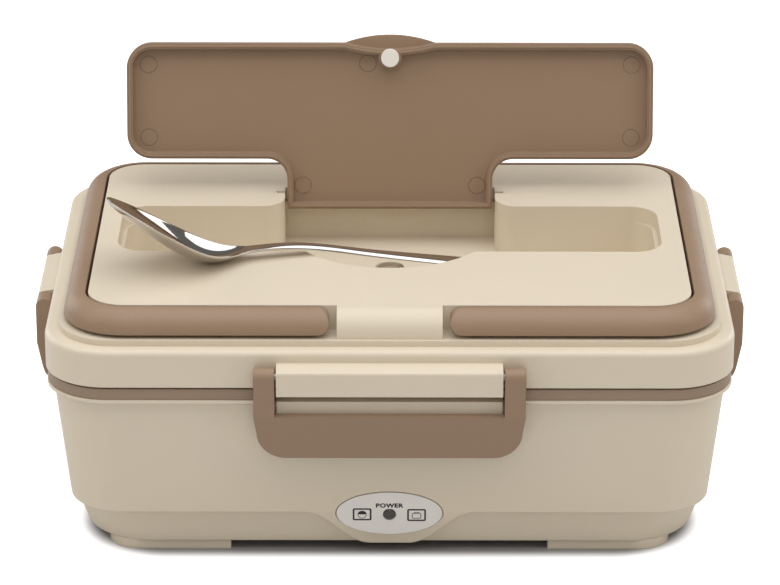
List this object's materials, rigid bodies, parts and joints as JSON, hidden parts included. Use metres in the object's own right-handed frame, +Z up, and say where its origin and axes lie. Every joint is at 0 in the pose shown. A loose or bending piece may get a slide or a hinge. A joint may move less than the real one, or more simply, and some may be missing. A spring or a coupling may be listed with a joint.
{
  "type": "electric lunch box",
  "caption": "Electric lunch box: heated base with a lift-out steel tray, latched lid with folding handles and a cutlery recess under a hinged cover.",
  "frame": {"origin": "centre of the base on the surface it stands on", "axes": "+Z up, -Y towards the front with the oval panel, +X to the right seen from the front"},
  "size_m": [0.2496, 0.1762, 0.1468],
  "materials": {
    "cream_plastic": "satin injection moulded",
    "brown_plastic": "satin injection moulded",
    "liner_plastic": "satin injection moulded",
    "inner_plastic": "satin injection moulded",
    "tray_steel": "satin pressed sheet",
    "polished_steel": "polished",
    "screw_steel": "zinc plated",
    "spring_steel": "plain",
    "cast_aluminium": "machined",
    "silicone": "matt",
    "black_plastic": "satin",
    "contact_brass": "nickel free, turned",
    "panel_grey": "satin printed",
    "lens_smoke": "polished",
    "board_green": "solder mask",
    "wire_red": "silicone sleeved",
    "heater_ceramic": "film wrapped",
    "dish_white": "satin"
  },
  "bodies": {
    "base": {"base_shell": "cream_plastic", "bottom_cover": "cream_plastic", "cover_screws": "screw_steel", "inner_liner": "liner_plastic", "heating_plate": "cast_aluminium", "ptc_heater": "heater_ceramic", "heater_clamp": "spring_steel", "clamp_screws": "screw_steel", "heat_shield": "cast_aluminium", "thermostat": "black_plastic", "thermal_fuse": "spring_steel", "wiring": "wire_red", "inlet_housing": "black_plastic", "inlet_pins": "contact_brass", "control_panel": "panel_grey", "indicator_lens": "lens_smoke", "led_board": "board_green"},
    "tray": {"food_tray": "tray_steel"},
    "dish": {"side_box": "dish_white"},
    "lid": {"lid_shell": "cream_plastic", "lid_inner": "inner_plastic", "lid_gasket": "silicone", "lid_screws": "screw_steel", "latch_pins_long": "spring_steel", "latch_pins_short": "spring_steel", "handle_pins": "spring_steel"},
    "front_bail": {"latch_front": "brown_plastic"},
    "back_bail": {"latch_back": "brown_plastic"},
    "left_bail": {"latch_left": "brown_plastic"},
    "right_bail": {"latch_right": "brown_plastic"},
    "left_grip": {"handle_left": "brown_plastic"},
    "right_grip": {"handle_right": "brown_plastic"},
    "cover": {"cutlery_cover": "brown_plastic", "vent_plug": "silicone"},
    "cutlery": {"spoon": "polished_steel"}
  },
  "joints": [
    {"name": "lid_lift", "type": "slide", "parent": "base", "child": "lid", "axis": [0, 0, 1], "range_m": [0, 0.055]},
    {"name": "tray_lift", "type": "slide", "parent": "base", "child": "tray", "axis": [0, 0, 1], "range_m": [0, 0.0303]},
    {"name": "dish_lift", "type": "slide", "parent": "tray", "child": "dish", "axis": [0, 0, 1], "range_m": [0, 0.0166]},
    {"name": "front_latch_hinge", "type": "hinge", "parent": "lid", "child": "front_bail", "pos_m": [0, -0.08505, 0.0727], "axis": [-1, 0, 0], "range_deg": [0, 150]},
    {"name": "back_latch_hinge", "type": "hinge", "parent": "lid", "child": "back_bail", "pos_m": [0, 0.08505, 0.0727], "axis": [1, 0, 0], "range_deg": [0, 150]},
    {"name": "left_latch_hinge", "type": "hinge", "parent": "lid", "child": "left_bail", "pos_m": [-0.12175, 0, 0.0727], "axis": [0, 1, 0], "range_deg": [0, 150]},
    {"name": "right_latch_hinge", "type": "hinge", "parent": "lid", "child": "right_bail", "pos_m": [0.12175, 0, 0.0727], "axis": [0, -1, 0], "range_deg": [0, 150]},
    {"name": "left_handle_hinge", "type": "hinge", "parent": "lid", "child": "left_grip", "pos_m": [-0.0245, 0, 0.08765], "axis": [0, 1, 0], "range_deg": [0, 22]},
    {"name": "right_handle_hinge", "type": "hinge", "parent": "lid", "child": "right_grip", "pos_m": [0.0245, 0, 0.08765], "axis": [0, -1, 0], "range_deg": [0, 22]},
    {"name": "cover_hinge", "type": "hinge", "parent": "lid", "child": "cover", "pos_m": [0, 0.0391, 0.089], "axis": [1, 0, 0], "range_deg": [0, 104.5]},
    {"name": "spoon_lift", "type": "slide", "parent": "lid", "child": "cutlery", "axis": [0, 0, 1], "range_m": [0, 0.15]}
  ],
  "couplings": [
    {"joint": "front_latch_hinge", "follows": "lid_lift", "rad_per_m": 47.59},
    {"joint": "back_latch_hinge", "follows": "lid_lift", "rad_per_m": 47.59},
    {"joint": "left_latch_hinge", "follows": "lid_lift", "rad_per_m": 47.59},
    {"joint": "right_latch_hinge", "follows": "lid_lift", "rad_per_m": 47.59},
    {"joint": "tray_lift", "follows": "lid_lift", "ratio": 0.55},
    {"joint": "dish_lift", "follows": "lid_lift", "ratio": 0.3},
    {"joint": "spoon_lift", "follows": "cover_hinge", "m_per_rad": 0.08}
  ]
}
